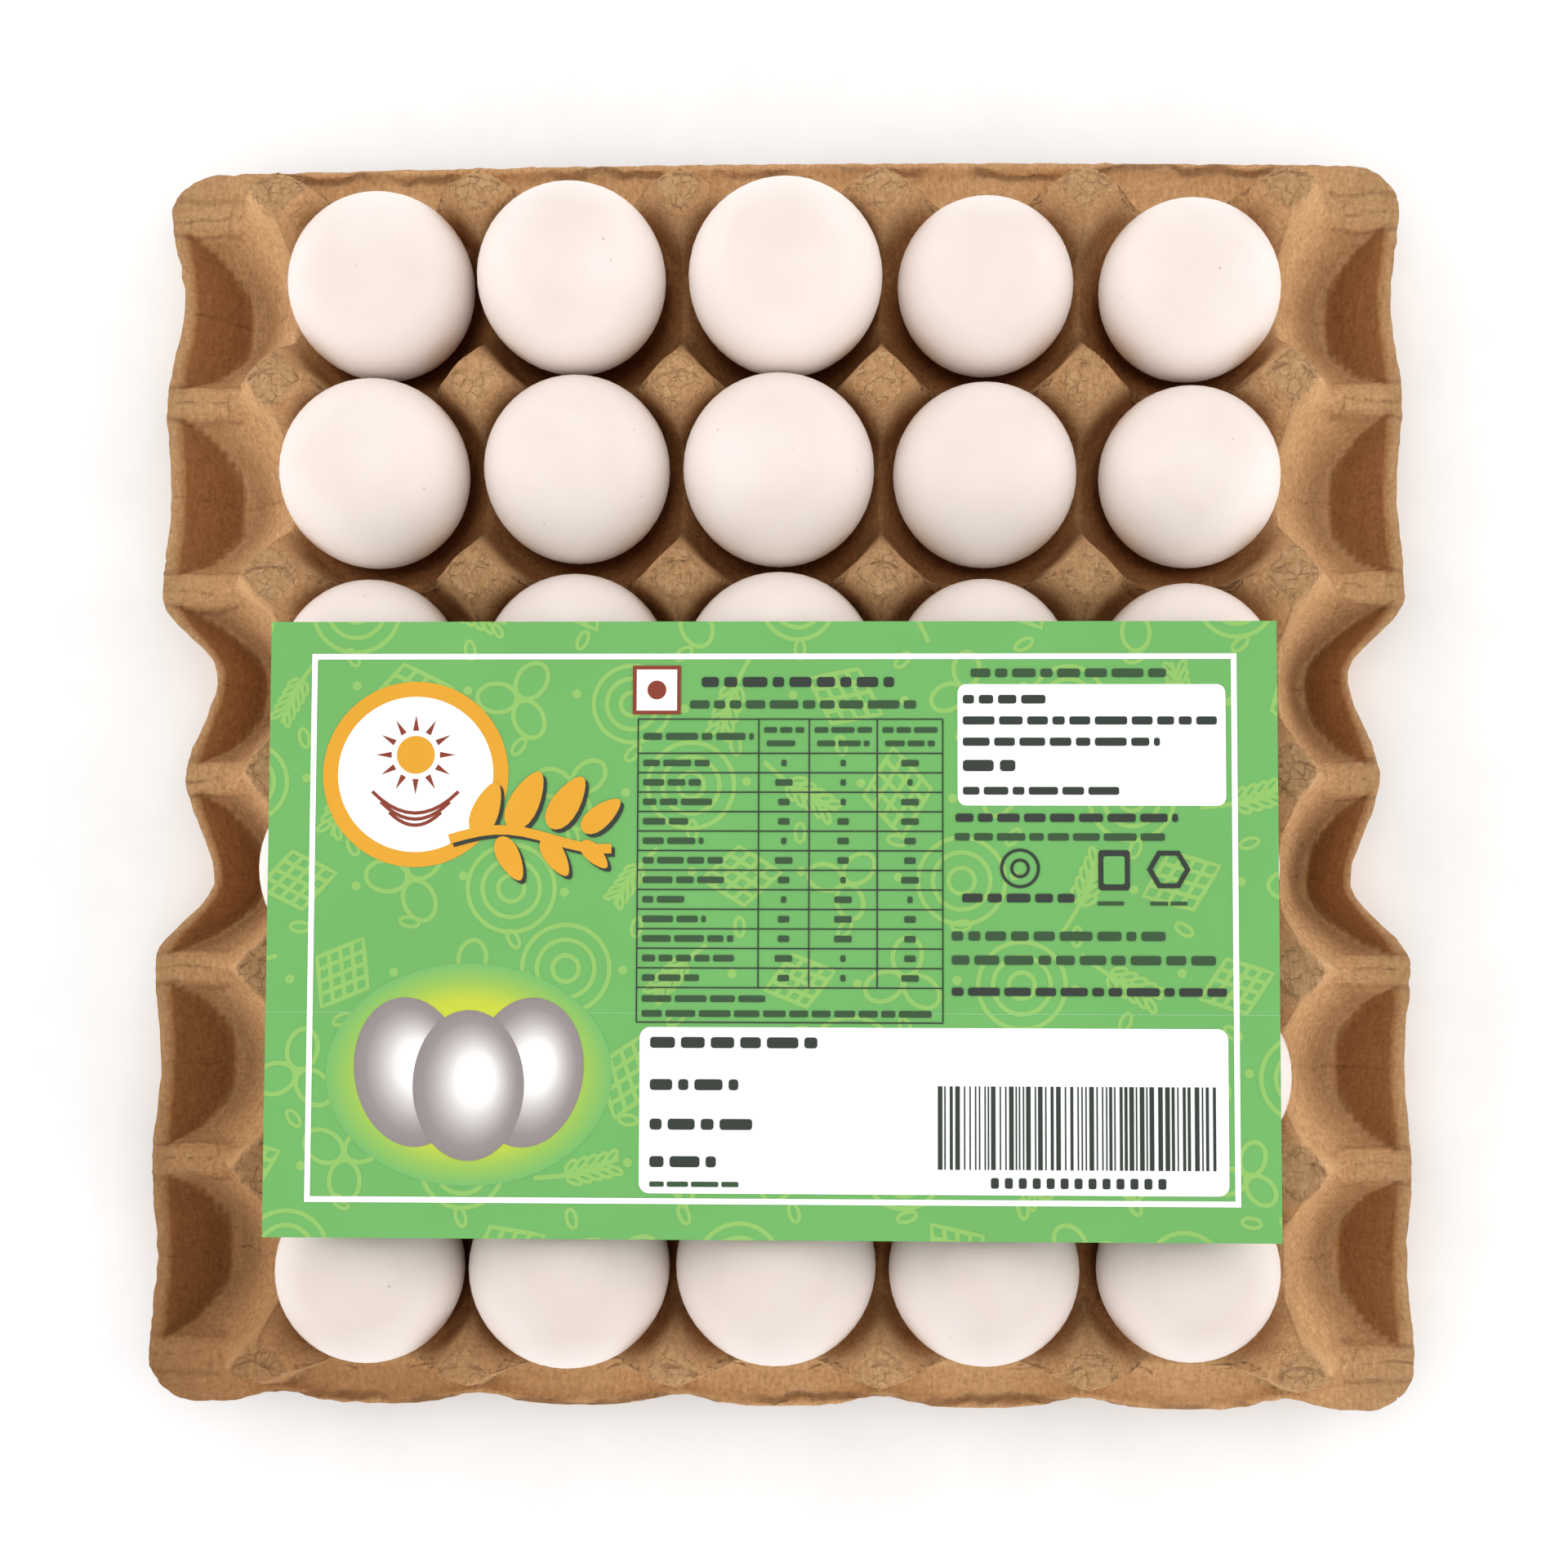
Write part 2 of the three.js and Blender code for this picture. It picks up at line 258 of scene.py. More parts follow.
def openness(x, y, z):
    """How much of the sky each point of the tray sees past the posts and the eggs, 0 to 1."""
    step, half = 0.8, 170
    places = np.arange(-half, half + step, step)
    field_x, field_y = np.meshgrid(places, places)
    field = tray_top(field_x, field_y)
    field[(np.abs(field_x) > RIM_X) | (np.abs(field_y) > RIM_Y)] = 0
    for row in range(1, ROWS + 1):
        for column in range(1, COLUMNS + 1):
            dx, dy, radius, length = EGGS[row - 1][column - 1]
            from_x = field_x - (column - 3) * PITCH_X - dx
            from_y = field_y - (3.5 - row) * PITCH_Y - dy
            away = np.hypot(from_x, from_y) / radius
            egg = 4 + 0.6 * length + 0.4 * length * np.sqrt(np.maximum(0, 1 - away**2))
            field = np.where(away < 1, egg, field)
    total = np.zeros(x.shape)
    for turn in range(20):
        angle = turn * math.pi / 10
        steepest = np.zeros(x.shape)
        for reach in (1.6, 3, 5, 7.5, 10.5, 14, 19, 26, 36):
            i = clamp(np.round((x + reach * math.cos(angle) + half) / step), 0, len(places) - 1).astype(int)
            j = clamp(np.round((y + reach * math.sin(angle) + half) / step), 0, len(places) - 1).astype(int)
            steepest = np.maximum(steepest, (field[j, i] - z) / reach)
        total += 1 / (1 + steepest**2)
    return total / 20


def mesh_object(name, vertices, faces, material, shade=True):
    mesh = bpy.data.meshes.new(name)
    mesh.from_pydata([tuple(v) for v in vertices], [], faces)
    mesh.update()
    if shade:
        mesh.polygons.foreach_set("use_smooth", [True] * len(mesh.polygons))
    piece = bpy.data.objects.new(name, mesh)
    bpy.context.scene.collection.objects.link(piece)
    piece.data.materials.append(material)
    return piece


def facing(x, y):
    """How far the side margins face in towards the eggs, from -1, outwards, to 1."""
    side = np.sign(x)
    across = np.minimum(np.abs(x), RIM_X - SIDE_LIP - 0.4)
    slope = (tray_top(side * (across + 0.6), y) - tray_top(side * (across - 0.6), y)) / 1.2
    margin = smooth((np.abs(x) - EDGE_POST_X - 1) / 5) * (np.abs(x) < RIM_X - SIDE_LIP)
    return clamp(slope / 1.2, -1, 1) * margin * (np.abs(y) < EDGE_POST_Y)


def make_tray(material):
    lines_x = tray_lines(COLUMNS, PITCH_X, -EDGE_POST_X, RIM_X, SIDE_STEPS)
    lines_y = tray_lines(ROWS, PITCH_Y, -EDGE_POST_Y, RIM_Y, END_STEPS)
    x, y = np.meshgrid(lines_x, lines_y)
    rows, columns = x.shape
    top, bottom = tray_top(x, y), tray_bottom(x, y)
    seen = openness(x, y, top)
    placed_x, placed_y = draw_in(x, y)
    inner = smooth((RIM_X - np.abs(x)) / 3) * smooth((RIM_Y - np.abs(y)) / 3)
    high = smooth((top - RIM_Z + 3) / 4)
    top = top + LUMP * inner * (0.4 + 0.6 * high) * (lumps(x, y, 5, 3) + 0.6 * lumps(x, y, 2.2, 8))
    # The edge is frayed, inwards only
    fray = FRAY * (0.5 + 0.5 * lumps(x, y, 3.2, 5) + 0.4 * np.abs(lumps(x, y, 1.3, 6)))
    edge_x, edge_y = np.abs(x) > RIM_X - 0.1, np.abs(y) > RIM_Y - 0.1
    placed_x = placed_x - np.sign(x) * np.where(edge_x, fray, 0)
    placed_y = placed_y - np.sign(y) * np.where(edge_y, fray, 0)
    vertices = np.concatenate([
        np.stack([placed_x, placed_y, top], -1).reshape(-1, 3),
        np.stack([placed_x, placed_y, np.minimum(bottom, top - 0.6)], -1).reshape(-1, 3),
    ])
    vertices = (vertices + SHIFT) * MM
    n = np.arange(rows * columns).reshape(rows, columns)
    under = rows * columns
    a, b, c, d = n[:-1, :-1].ravel(), n[:-1, 1:].ravel(), n[1:, 1:].ravel(), n[1:, :-1].ravel()
    faces = np.stack([a, b, c, d], -1).tolist()
    faces += np.stack([a + under, d + under, c + under, b + under], -1).tolist()
    loop = np.concatenate([n[0, :-1], n[:-1, -1], n[-1, :0:-1], n[:0:-1, 0]])
    after = np.roll(loop, -1)
    faces += np.stack([loop, loop + under, after + under, after], -1).tolist()
    piece = mesh_object("tray_pulp", vertices, faces, material)
    # Sky openness and inward facing, kept on the points for the pulp's painted shade and painted light
    shade = piece.data.color_attributes.new("open", "FLOAT_COLOR", "POINT")
    faced = 0.5 + 0.5 * facing(x, y)
    values = np.ones((2 * rows * columns, 4))
    values[:, 0] = np.concatenate([seen.ravel(), np.full(rows * columns, 0.6)])
    values[:, 1] = np.concatenate([faced.ravel(), np.full(rows * columns, 0.5)])
    shade.data.foreach_set("color", values.ravel())
    return piece


# The eggs

def egg_vertices(radius, length, segments, bands):
    angles = np.linspace(0, math.pi, bands + 1)[1:-1]
    widths = radius * np.sin(angles) * (1 - EGG_BLUNTNESS * np.cos(angles)) / EGG_WIDEST
    heights = length * (1 - np.cos(angles)) / 2
    turns = np.arange(segments) * 2 * math.pi / segments
    ring = np.stack([
        np.outer(widths, np.cos(turns)),
        np.outer(widths, np.sin(turns)),
        np.outer(heights, np.ones(segments)),
    ], -1).reshape(-1, 3)
    return np.concatenate([ring, [[0, 0, 0], [0, 0, length]]])


def egg_faces(segments, bands):
    faces = []
    last = (bands - 1) * segments
    for band in range(bands - 2):
        for k in range(segments):
            j = (k + 1) % segments
            low, high = band * segments, (band + 1) * segments
            faces.append((low + k, low + j, high + j, high + k))
    for k in range(segments):
        j = (k + 1) % segments
        faces.append((last, j, k))
        faces.append((last + 1, last - segments + k, last - segments + j))
    return faces


def make_egg(row, column, material):
    dx, dy, radius, length = EGGS[row - 1][column - 1]
    name = "egg_r%dc%d" % (row, column)
    points = egg_vertices(radius, length, 48, 30)
    lean = Matrix.Rotation(math.atan(dx / (0.6 * length)), 3, "Y")
    lean = lean @ Matrix.Rotation(-math.atan(dy / (0.6 * length)), 3, "X")
    points = points @ np.array(lean).T
    low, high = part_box(name)
    points[:, 0] += (column - 3) * PITCH_X
    points[:, 1] += (3.5 - row) * PITCH_Y
    # From the solid's lowest point to its highest
    share = (points[:, 2] - points[:, 2].min()) / np.ptp(points[:, 2])
    points[:, 2] = (low[2] + (high[2] - low[2]) * share) / MM
    piece = mesh_object("shell_r%dc%d" % (row, column), (points + SHIFT) * MM, egg_faces(48, 30), material)
    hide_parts(name)
    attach(piece, "root")


# Materials

class Nodes:
    """A small helper that adds and links shader nodes."""

    def __init__(self, name):
        self.material = bpy.data.materials.new(name)
        self.material.use_nodes = True
        self.tree = self.material.node_tree
        self.shader = self.tree.nodes["Principled BSDF"]

    def add(self, kind, **inputs):
        node = self.tree.nodes.new(kind)
        for key, value in inputs.items():
            self.set(node, key, value)
        return node

    def set(self, node, key, value):
        if isinstance(key, str) and key.startswith("_"):
            setattr(node, key[1:], value)
            return
        socket = node.inputs[key.replace("__", " ") if isinstance(key, str) else key]
        if isinstance(value, bpy.types.NodeSocket):
            self.tree.links.new(value, socket)
        else:
            socket.default_value = value

    def noise(self, vector, scale, detail=4, rough=0.55):
        node = self.add("ShaderNodeTexNoise", Vector=vector, Scale=scale, Detail=detail, Roughness=rough)
        return node.outputs["Fac"]

    def ramp(self, value, stops):
        node = self.add("ShaderNodeValToRGB", Fac=value)
        ramp = node.color_ramp
        while len(ramp.elements) < len(stops):
            ramp.elements.new(0.5)
        for element, (place, colour) in zip(ramp.elements, stops):
            element.position = place
            element.color = (*colour, 1) if len(colour) == 3 else colour
        return node.outputs["Color"]

    def mix(self, factor, a, b, blend="MIX"):
        node = self.add("ShaderNodeMix", _data_type="RGBA", _blend_type=blend)
        self.set(node, 0, factor)
        self.set(node, 6, a)
        self.set(node, 7, b)
        return node.outputs[2]

    def math(self, operation, a, b=0.5):
        node = self.add("ShaderNodeMath", _operation=operation)
        self.set(node, 0, a)
        self.set(node, 1, b)
        return node.outputs[0]

    def wrap(self, value, half):
        """The value brought into the range -half to half by whole periods."""
        node = self.add("ShaderNodeMath", _operation="WRAP")
        for key, given in enumerate((value, half, -half)):
            self.set(node, key, given)
        return node.outputs[0]

    def length(self, a, b):
        squares = [self.math("MULTIPLY", value, value) for value in (a, b)]
        return self.math("SQRT", self.math("ADD", *squares))

    def groove(self, value, at, width):
        """1 where the value is near the given one, falling to 0 beyond the width."""
        off = self.math("DIVIDE", self.math("SUBTRACT", value, at), width)
        return self.math("EXPONENT", self.math("MULTIPLY", self.math("MULTIPLY", off, off), -1))

    def bump(self, height, strength, distance, normal=None):
        node = self.add("ShaderNodeBump", Strength=strength, Distance=distance, Height=height)
        if normal is not None:
            self.set(node, "Normal", normal)
        return node.outputs["Normal"]


def rgb(red, green, blue):
    """A colour written as in a picture, 0 to 255, as the renderer's linear values."""
    values = []
    for value in (red, green, blue):
        share = value / 255
        values.append(share / 12.92 if share <= 0.04045 else ((share + 0.055) / 1.055) ** 2.4)
    return (*values, 1)


def pulp_material():
    """Rough brown pulp. Its creases are set out from the posts, in millimetres."""
    m = Nodes("pulp")
    place = m.add("ShaderNodeTexCoord").outputs["Object"]
    wobble = m.add("ShaderNodeTexNoise", Vector=place, Scale=85, Detail=4).outputs["Color"]
    shifted = m.add("ShaderNodeVectorMath", _operation="MULTIPLY_ADD")
    m.set(shifted, 0, wobble)
    m.set(shifted, 1, (WOBBLE * MM, WOBBLE * MM, 0))
    m.set(shifted, 2, place)
    split = m.add("ShaderNodeSeparateXYZ", Vector=shifted.outputs[0])
    x = m.math("SUBTRACT", m.math("MULTIPLY", split.outputs["X"], 1000), SHIFT[0] + WOBBLE / 2)
    y = m.math("SUBTRACT", m.math("MULTIPLY", split.outputs["Y"], 1000), SHIFT[1] + WOBBLE / 2)
    u = m.wrap(m.math("SUBTRACT", x, PITCH_X / 2), PITCH_X / 2)
    v = m.wrap(y, PITCH_Y / 2)
    far_u, far_v = m.math("ABSOLUTE", u), m.math("ABSOLUTE", v)
    across = m.math("ABSOLUTE", x)
    radius = m.length(u, v)
    on_disc = m.math("LESS_THAN", radius, DISC_RADIUS - 0.6)
    arc = m.math("MULTIPLY", m.groove(m.length(u, m.math("ADD", v, 6)), 8.2, 0.28), on_disc)
    ring = m.groove(radius, DISC_RADIUS + 0.9, 0.5)
    # Two seams at each side of a post, a little aslant
    seam = m.groove(m.math("ADD", v, m.math("MULTIPLY", far_u, 0.16)), 2.2, 0.22)
    seam_two = m.groove(m.math("ADD", v, m.math("MULTIPLY", far_u, 0.3)), 2.6, 0.2)
    past, short = m.math("GREATER_THAN", far_u, SEAM_FROM), m.math("LESS_THAN", far_u, SEAM_TO)
    on_flank = m.math("MULTIPLY", past, short)
    on_flank = m.math("MULTIPLY", on_flank, m.math("LESS_THAN", across, EDGE_POST_X - 1))
    seam = m.math("MULTIPLY", m.math("MAXIMUM", seam, seam_two), on_flank)
    outside = m.math("GREATER_THAN", across, EDGE_POST_X + 4)
    cell_v = m.math("ABSOLUTE", m.wrap(m.math("SUBTRACT", y, PITCH_Y / 2), PITCH_Y / 2))
    cell_seam = m.math("MULTIPLY", m.groove(cell_v, 0, 0.3), outside)
    # One along each bar and one across its inner end
    bar_crease = m.math("MULTIPLY", m.groove(far_v, 0, 0.3), m.math("GREATER_THAN", across, BAR_FROM))
    joint = m.groove(across, BAR_FROM - 0.5, 0.5)
    joint = m.math("MULTIPLY", joint, m.math("LESS_THAN", far_v, BAR_HALF - 0.1))
    bar_crease = m.math("MULTIPLY", m.math("MAXIMUM", bar_crease, joint), 0.6)
    creases = m.math("MAXIMUM", m.math("MAXIMUM", arc, seam), bar_crease)
    creases = m.math("MAXIMUM", creases, m.math("MULTIPLY", cell_seam, 0.5))
    broken = m.ramp(m.noise(place, 260, 2), [(0.38, (0, 0, 0)), (0.56, (1, 1, 1))])
    creases = m.math("MULTIPLY", creases, broken)
    # A torn crevice inside the far and near rims; its darkness is painted shade
    wave = m.math("MULTIPLY", m.math("SUBTRACT", m.noise(place, 26, 3), 0.5), 9)
    crevice = m.groove(m.math("ADD", m.math("ABSOLUTE", y), wave), RIM_Y - 3, 0.75)
    torn = m.ramp(m.noise(place, 40, 2), [(0.4, (0, 0, 0)), (0.5, (1, 1, 1))])
    crevice = m.math("MULTIPLY", crevice, torn)
    crevice = m.math("MULTIPLY", crevice, m.math("LESS_THAN", across, EDGE_POST_X + 4))
    # A sharp fold along both sides of each bar
    fold = m.groove(far_v, BAR_HALF + 0.9, 0.55)
    fold = m.math("MULTIPLY", fold, m.math("GREATER_THAN", across, BAR_FROM - 3))
    # Small cracks on the post tops
    cells = m.add("ShaderNodeTexVoronoi", _feature="DISTANCE_TO_EDGE", Vector=shifted.outputs[0], Scale=420)
    cracks = m.ramp(cells.outputs["Distance"], [(0.01, (1, 1, 1)), (0.06, (0, 0, 0))])
    cracks = m.math("MULTIPLY", cracks, m.math("LESS_THAN", radius, DISC_RADIUS + 0.6))
    cracks = m.math("MULTIPLY", m.math("MULTIPLY", cracks, broken), 0.5)
    crease_relief_and_shade = m.math("MAXIMUM", m.math("MAXIMUM", creases, cracks), m.math("MULTIPLY", ring, 0.3))
    crease_relief_and_shade = m.math("MAXIMUM", crease_relief_and_shade, m.math("MULTIPLY", crevice, 1.5))
    crease_relief_and_shade = m.math("MAXIMUM", crease_relief_and_shade, m.math("MULTIPLY", fold, 0.7))

    cloud = m.noise(place, 60, 3)
    flat = m.add("ShaderNodeMapping", Vector=place, Scale=(1, 1, 0.6))
    fibre = m.noise(flat.outputs[0], 900, 6, 0.7)
    drawn_out = m.add("ShaderNodeMapping", Vector=place, Scale=(1, 0.22, 0.5), Rotation=(0, 0, 0.7))
    strand = m.noise(drawn_out.outputs[0], 1300, 3, 0.6)
    grain = m.noise(place, 2600, 3)
    base = m.ramp(cloud, [(0.3, rgb(178, 135, 93)), (0.7, rgb(194, 152, 109))])
    fibre_tone = [(0.32, rgb(128, 86, 52)), (0.52, rgb(186, 143, 99)), (0.75, rgb(220, 184, 142))]
    strand_tone = [(0.35, rgb(140, 96, 60)), (0.6, rgb(196, 156, 112)), (0.78, rgb(232, 204, 166))]
    base = m.mix(0.45, base, m.ramp(fibre, fibre_tone))
    base = m.mix(0.18, base, m.ramp(strand, strand_tone))
    # Painted shade: darker and redder deep between the eggs, where little sky is seen, and painted light,
    # paler, on the partly open slopes
    layer = m.add("ShaderNodeVertexColor", _layer_name="open").outputs["Color"]
    shade = m.add("ShaderNodeSeparateColor", Color=layer)
    seen, faced = shade.outputs[0], shade.outputs[1]
    sky_shade = m.ramp(seen, [
        (0.0, (0.6, 0.35, 0.2)), (0.12, (1.34, 1.1, 0.88)), (0.34, (1.5, 1.62, 1.68)),
        (0.55, (1.44, 1.48, 1.5)), (0.8, (1.36, 1.37, 1.38)), (0.97, (1.07, 1.08, 1.09)),
    ])
    base = m.mix(1, base, sky_shade, "MULTIPLY")
    # Painted shade where the side margins face in towards the eggs, painted light where they face out
    facing_light_and_shade = m.ramp(faced, [
        (0, (1.16, 1.18, 1.2)), (0.5, (1, 1, 1)), (0.75, (0.82, 0.74, 0.66)), (1, (0.57, 0.47, 0.38)),
    ])
    base = m.mix(1, base, facing_light_and_shade, "MULTIPLY")
    # The near left corner is darker
    corner_dark = m.math("DIVIDE", m.length(m.math("ADD", x, RIM_X), m.math("ADD", y, RIM_Y)), CORNER_DARK_REACH)
    corner_dark = m.ramp(corner_dark, [(0.05, (0.66, 0.58, 0.5)), (0.45, (0.82, 0.77, 0.72)), (1, (1, 1, 1))])
    base = m.mix(1, base, corner_dark, "MULTIPLY")
    # Painted shade: the creases, seams, cracks, crevice and folds are darkened towards a dark brown; their
    # bump below is real relief
    base = m.mix(m.math("MULTIPLY", crease_relief_and_shade, 0.4), base, rgb(122, 80, 48))
    m.set(m.shader, "Base Color", base)
    m.shader.inputs["Roughness"].default_value = 0.95
    m.shader.inputs["Specular IOR Level"].default_value = 0.12
    rough = m.bump(crease_relief_and_shade, 0.9, -0.0006)
    rough = m.bump(fibre, 0.8, 0.0012, rough)
    m.set(m.shader, "Normal", m.bump(grain, 0.4, 0.0003, rough))
    return m.material


def shell_material():
    m = Nodes("shell")
    place = m.add("ShaderNodeTexCoord").outputs["Object"]
    tone = m.noise(place, 45, 2)
    base = m.ramp(tone, [(0.3, rgb(222, 208, 201)), (0.7, rgb(229, 217, 211))])
    # A few pores and specks
    spots = m.add("ShaderNodeTexVoronoi", Vector=place, Scale=170).outputs["Distance"]
    rare = m.ramp(m.noise(place, 120, 1), [(0.54, (0, 0, 0)), (0.6, (1, 1, 1))])
    speck = m.math("MULTIPLY", m.ramp(spots, [(0.04, (1, 1, 1)), (0.07, (0, 0, 0))]), rare)
    base = m.mix(m.math("MULTIPLY", speck, 0.5), base, rgb(150, 118, 92))
    # Painted shade: the eggs are a little darker towards the near side
    split = m.add("ShaderNodeSeparateXYZ", Vector=place)
    near = m.math("MULTIPLY_ADD", split.outputs["Y"], 3)
    near = m.ramp(near, [(0.1, (0.87, 0.86, 0.86)), (0.4, (1, 1, 1))])
    base = m.mix(1, base, near, "MULTIPLY")
    # Painted light: the shell is paler where it faces sideways
    normal = m.add("ShaderNodeNewGeometry").outputs["Normal"]
    facing_up = m.add("ShaderNodeSeparateXYZ", Vector=normal).outputs["Z"]
    base = m.mix(m.ramp(facing_up, [(0.05, (0.7, 0.7, 0.7)), (0.85, (0, 0, 0))]), base, rgb(254, 246, 240))
    m.set(m.shader, "Base Color", base)
    m.shader.inputs["Roughness"].default_value = 0.55
    m.shader.inputs["Specular IOR Level"].default_value = 0.35
    pores = m.noise(place, 1500, 3)
    m.set(m.shader, "Normal", m.bump(pores, 0.12, 0.0002))
    return m.material


def paper_material(name, colour, roughness=0.6):
    m = Nodes(name)
    place = m.add("ShaderNodeTexCoord").outputs["Object"]
    tone = m.noise(place, 30, 3)
    darker = tuple(c * 0.94 for c in colour[:3]) + (1,)
    m.set(m.shader, "Base Color", m.ramp(tone, [(0.3, darker), (0.7, colour)]))
    m.shader.inputs["Roughness"].default_value = roughness
    m.shader.inputs["Specular IOR Level"].default_value = 0.3
    m.set(m.shader, "Normal", m.bump(m.noise(place, 3000, 2), 0.1, 0.0001))
    return m.material


pulp = pulp_material()
shell = shell_material()

tray = make_tray(pulp)
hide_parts("tray")
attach(tray, "root")

for row in range(1, ROWS + 1):
    for column in range(1, COLUMNS + 1):
        make_egg(row, column, shell)

# The printed sheet. Its print is set out in millimetres from the sheet's top left corner.
SHEET_LOW, SHEET_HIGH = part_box("label")
PRINT_WIDTH = 231.8
PRINT_HEIGHT = 141.8
PRINT_SCALE_X = (SHEET_HIGH[0] - SHEET_LOW[0]) / PRINT_WIDTH
PRINT_SCALE_Y = (SHEET_HIGH[1] - SHEET_LOW[1]) / PRINT_HEIGHT
SHEET_TOP = SHEET_HIGH[2] / MM - 0.3
SHEET_BASE = SHEET_LOW[2] / MM


def ink(red, green, blue, share=0.77):
    """A print colour as the picture shows it, darkened for the bright studio."""
    return (*[share * value for value in rgb(red, green, blue)[:3]], 1)


GREEN = ink(120, 194, 106)
PATTERN_GREEN = ink(156, 209, 110)
WHITE = rgb(250, 252, 250)
DARK = ink(52, 60, 52)
MID_DARK = ink(58, 90, 56)
ORANGE = ink(247, 178, 44)
RED_BROWN = ink(150, 62, 40)


def clipped(outline, width, height):
    """A convex outline cut to the sheet's rectangle."""
    sides = ((0, 0, False), (0, width, True), (1, 0, False), (1, height, True))
    for axis, limit, keep_low in sides:
        result = []
        for n, point in enumerate(outline):
            before = outline[n - 1]
            inside = point[axis] <= limit if keep_low else point[axis] >= limit
            inside_before = before[axis] <= limit if keep_low else before[axis] >= limit
            if inside != inside_before:
                share = (limit - before[axis]) / (point[axis] - before[axis])
                result.append(tuple(a + share * (b - a) for a, b in zip(before, point)))
            if inside:
                result.append(point)
        outline = result
        if len(outline) < 3:
            return []
    return outline


class Print:
    """Flat shapes in one colour, one layer above the sheet."""

    def __init__(self, name, layer, material):
        self.name, self.layer, self.material = name, layer, material
        self.outlines = []

    def shape(self, points):
        points = clipped(list(points), PRINT_WIDTH, PRINT_HEIGHT)
        if points:
            self.outlines.append(points)

    def box(self, left, top, right, bottom, radius=0):
        if not radius:
            self.shape([(left, top), (right, top), (right, bottom), (left, bottom)])
            return
        points = []
        for cx, cy, start in (
            (right - radius, top + radius, -90), (right - radius, bottom - radius, 0),
            (left + radius, bottom - radius, 90), (left + radius, top + radius, 180),
        ):
            for step in range(7):
                angle = math.radians(start + step * 15)
                points.append((cx + radius * math.cos(angle), cy + radius * math.sin(angle)))
        self.shape(points)

    def oval(self, x, y, half_width, half_height, turn=0, sides=40):
        self.shape(oval_points(x, y, half_width, half_height, turn, sides))

    def line(self, points, width, closed=False):
        count = len(points)
        left, right = [], []
        for n, (x, y) in enumerate(points):
            before = points[n - 1] if n or closed else points[n]
            after = points[(n + 1) % count] if n + 1 < count or closed else points[n]
            dx, dy = after[0] - before[0], after[1] - before[1]
            length = math.hypot(dx, dy) or 1
            nx, ny = -dy / length * width / 2, dx / length * width / 2
            left.append((x + nx, y + ny))
            right.append((x - nx, y - ny))
        for n in range(count if closed else count - 1):
            m = (n + 1) % count
            self.shape([left[n], left[m], right[m], right[n]])

    def words(self, left, middle, right, height, rng):
        """A line of print too small to read: word-long strokes."""
        x = left
        while x < right - 1:
            end = min(right, x + rng.uniform(2.2, 7.5))
            self.box(x, middle - height / 2, end, middle + height / 2, height * 0.3)
            x = end + height * 0.55

    def build(self):
        vertices, faces = [], []
        for outline in self.outlines:
            area = sum(a[0] * b[1] - b[0] * a[1] for a, b in zip(outline, outline[1:] + outline[:1]))
            if abs(area) < 1e-6:
                continue
            if area > 0:
                outline = outline[::-1]
            # Overlapping shapes of one layer lie a hair apart
            layer = self.layer + 0.0002 * (len(faces) % 97)
            first = len(vertices)
            vertices += [sheet_place(x, y, layer) for x, y in outline]
            faces.append(list(range(first, first + len(outline))))
        piece = mesh_object(self.name, vertices, faces, self.material, shade=False)
        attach(piece, "root")


def sheet_place(x, y, layer):
    return (SHEET_LOW[0] + x * PRINT_SCALE_X, SHEET_HIGH[1] - y * PRINT_SCALE_Y, (SHEET_TOP + layer) * MM)


def oval_points(x, y, half_width, half_height, turn=0, sides=40):
    cos_turn, sin_turn = math.cos(turn), math.sin(turn)
    points = []
    for n in range(sides):
        a = 2 * math.pi * n / sides
        u, v = half_width * math.cos(a), half_height * math.sin(a)
        points.append((x + u * cos_turn - v * sin_turn, y + u * sin_turn + v * cos_turn))
    return points


def turned(points, x, y, turn, size):
    cos_turn, sin_turn = math.cos(turn), math.sin(turn)
    return [
        (x + size * (u * cos_turn - v * sin_turn), y + size * (u * sin_turn + v * cos_turn))
        for u, v in points
    ]


def trefoil(layer, x, y, turn, size, width):
    for n in range(3):
        angle = turn + n * 2 * math.pi / 3
        cx, cy = x + 0.52 * size * math.cos(angle), y + 0.52 * size * math.sin(angle)
        layer.line(oval_points(cx, cy, 0.46 * size, 0.34 * size, angle), width, closed=True)


def wheat_ear(layer, x, y, turn, size, width):
    stem = [(-1 + 0.2 * n, 0.12 * math.sin(0.3 * n)) for n in range(11)]
    layer.line(turned(stem, x, y, turn, size), width)
    for n in range(5):
        for side in (-1, 1):
            place = turned([(-0.1 + 0.24 * n, side * 0.17 + 0.1)], x, y, turn, size)[0]
            grain = oval_points(*place, 0.17 * size, 0.075 * size, turn + side * 0.6, 16)
            layer.line(grain, width * 0.8, closed=True)


def target(layer, x, y, turn, size, width):
    for share in (1, 0.66, 0.3):
        layer.line(oval_points(x, y, share * size, share * size, 0, 36), width, closed=True)


def lattice(layer, x, y, turn, size, width):
    corners = [(1, 0), (0, 0.75), (-1, 0), (0, -0.75)]
    edge = []
    for a, b in zip(corners, corners[1:] + corners[:1]):
        edge += [(a[0] + (b[0] - a[0]) * k / 4, a[1] + (b[1] - a[1]) * k / 4) for k in range(4)]
    layer.line(turned(edge, x, y, turn, size), width, closed=True)
    for k in (1, 2, 3):
        layer.line(turned([edge[k], edge[12 - k]], x, y, turn, size), width)
        layer.line(turned([edge[4 + k], edge[(16 - k) % 16]], x, y, turn, size), width)


